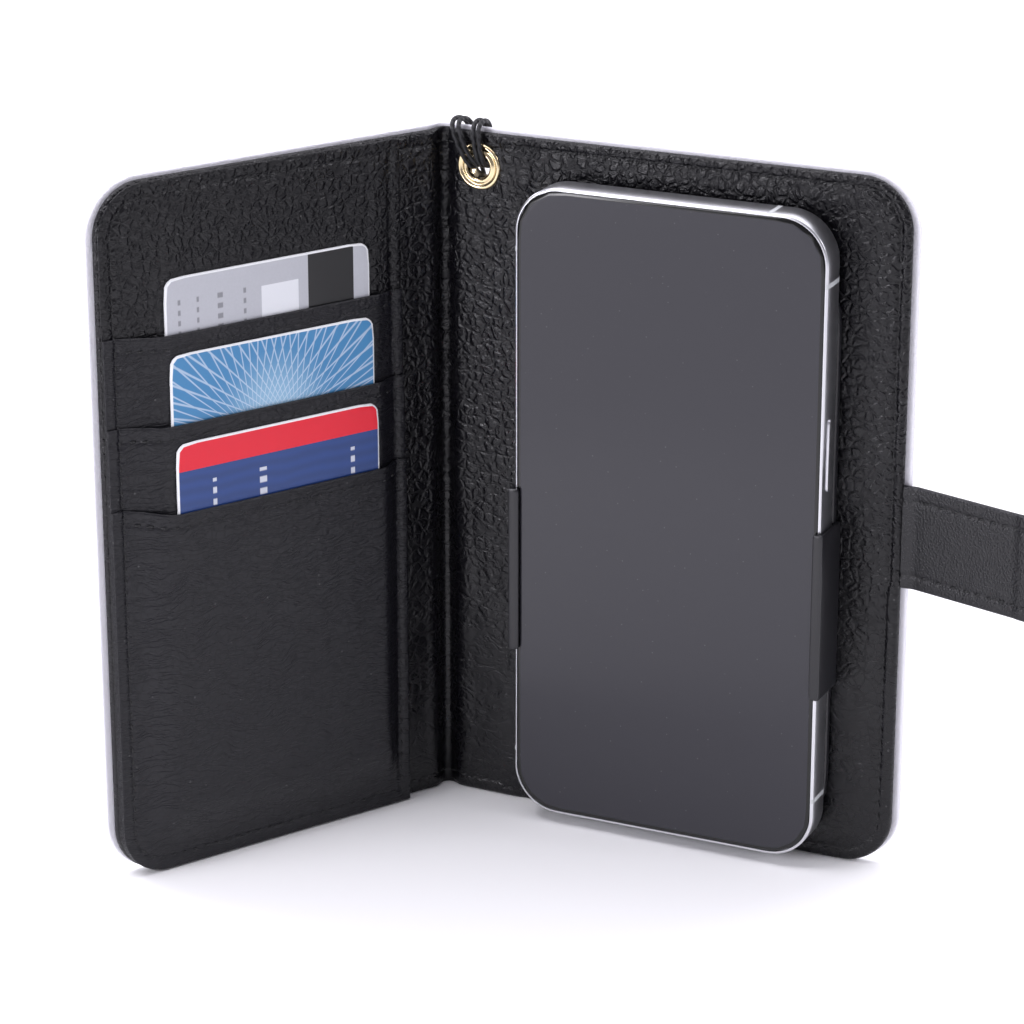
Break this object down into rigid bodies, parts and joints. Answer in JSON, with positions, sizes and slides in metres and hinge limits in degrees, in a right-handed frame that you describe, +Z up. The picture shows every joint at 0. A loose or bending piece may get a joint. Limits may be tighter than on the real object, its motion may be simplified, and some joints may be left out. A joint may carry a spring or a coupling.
{
  "type": "phone wallet case",
  "caption": "Book-style phone wallet case standing open: leather covers on a creased spine, clip-in phone holder, stacked card pockets, magnetic strap and corded eyelet.",
  "frame": {"origin": "middle of the spine on its bottom edge, in the hinge plane, where the case stands", "axes": "+Z up along the spine; the case opens towards -Y"},
  "size_m": [0.2353, 0.0981, 0.1658],
  "materials": {
    "outer_leather": "smooth pale padded leather",
    "lining_leather": "glossy pebbled black leather",
    "pocket_leather": "soft black leather with fine wrinkles",
    "strap_leather": "fine-grained black leather",
    "stiffening_board": "pressed board",
    "magnet_steel": "plated",
    "adhesive": "adhesive film",
    "holder_plastic": "fine-textured black",
    "eyelet_brass": "polished pale brass",
    "cord_textile": "braided black cord",
    "ferrule_metal": "dark plated",
    "phone_metal": "bead-blasted silver",
    "phone_glass": "dark screen glass",
    "phone_inside": "sealed inside",
    "band_plastic": "pale inlay",
    "card_silver": "printed card",
    "card_sky": "printed card",
    "card_blue": "printed card"
  },
  "bodies": {
    "back_cover": {"back_outer_skin": "outer_leather", "back_board": "stiffening_board", "back_lining": "lining_leather", "strap_tongue": "strap_leather", "holder_tape": "adhesive", "holder_plate": "holder_plastic", "clip_left": "holder_plastic", "clip_right": "holder_plastic"},
    "spine": {"spine_outer_skin": "outer_leather", "spine_board": "stiffening_board", "spine_lining": "lining_leather", "eyelet_barrel": "eyelet_brass", "eyelet_washer": "eyelet_brass", "eyelet_cord": "cord_textile", "cord_ferrule": "ferrule_metal"},
    "front_cover": {"front_outer_skin": "outer_leather", "front_board": "stiffening_board", "front_lining": "lining_leather", "cover_magnet": "magnet_steel", "cash_pocket_panel": "pocket_leather", "card_pocket_1": "pocket_leather", "card_pocket_2": "pocket_leather", "card_pocket_3": "pocket_leather"},
    "strap_root": {"gusset_inner_layer": "strap_leather", "gusset_outer_layer": "strap_leather"},
    "strap_tab": {"tab_inner_layer": "strap_leather", "tab_outer_layer": "strap_leather", "tab_stiffener": "stiffening_board", "tab_magnet": "magnet_steel"},
    "phone": {"phone_frame": "phone_metal", "phone_front_glass": "phone_glass", "phone_back_glass": "phone_glass", "phone_core": "phone_inside", "antenna_bands": "band_plastic"},
    "power_key": {"power_key": "phone_metal"},
    "card_1": {"card_1": "card_silver"},
    "card_2": {"card_2": "card_sky"},
    "card_3": {"card_3": "card_blue"}
  },
  "joints": [
    {"name": "spine_fold", "type": "hinge", "parent": "back_cover", "child": "spine", "pos_m": [0.00936, -0.00477, 0.0815], "axis": [0, 0, 1], "range_deg": [-88, 92]},
    {"name": "front_fold", "type": "hinge", "parent": "spine", "child": "front_cover", "pos_m": [-0.00936, 0.00477, 0.0815], "axis": [0, 0, 1], "range_deg": [-153, 27]},
    {"name": "strap_root_fold", "type": "hinge", "parent": "back_cover", "child": "strap_root", "pos_m": [0.0962, -0.04449, 0.081], "axis": [0, 0, -1], "range_deg": [-46.5, 73.5]},
    {"name": "strap_tab_fold", "type": "hinge", "parent": "strap_root", "child": "strap_tab", "pos_m": [0.11545, -0.06152, 0.081], "axis": [0, 0, -1], "range_deg": [-90, 90]},
    {"name": "phone_slide", "type": "slide", "parent": "back_cover", "child": "phone", "axis": [0, 0, -1], "range_m": [-0.11, 0]},
    {"name": "power_key_press", "type": "slide", "parent": "phone", "child": "power_key", "axis": [-0.9063, 0.4226, 0], "range_m": [0, 0.0004], "stiffness_N_per_m": 1500},
    {"name": "card_1_slide", "type": "slide", "parent": "front_cover", "child": "card_1", "axis": [0, 0, -1], "range_m": [-0.07, 0]},
    {"name": "card_2_slide", "type": "slide", "parent": "front_cover", "child": "card_2", "axis": [0, 0, -1], "range_m": [-0.07, 0]},
    {"name": "card_3_slide", "type": "slide", "parent": "front_cover", "child": "card_3", "axis": [0, 0, -1], "range_m": [-0.07, 0]}
  ]
}
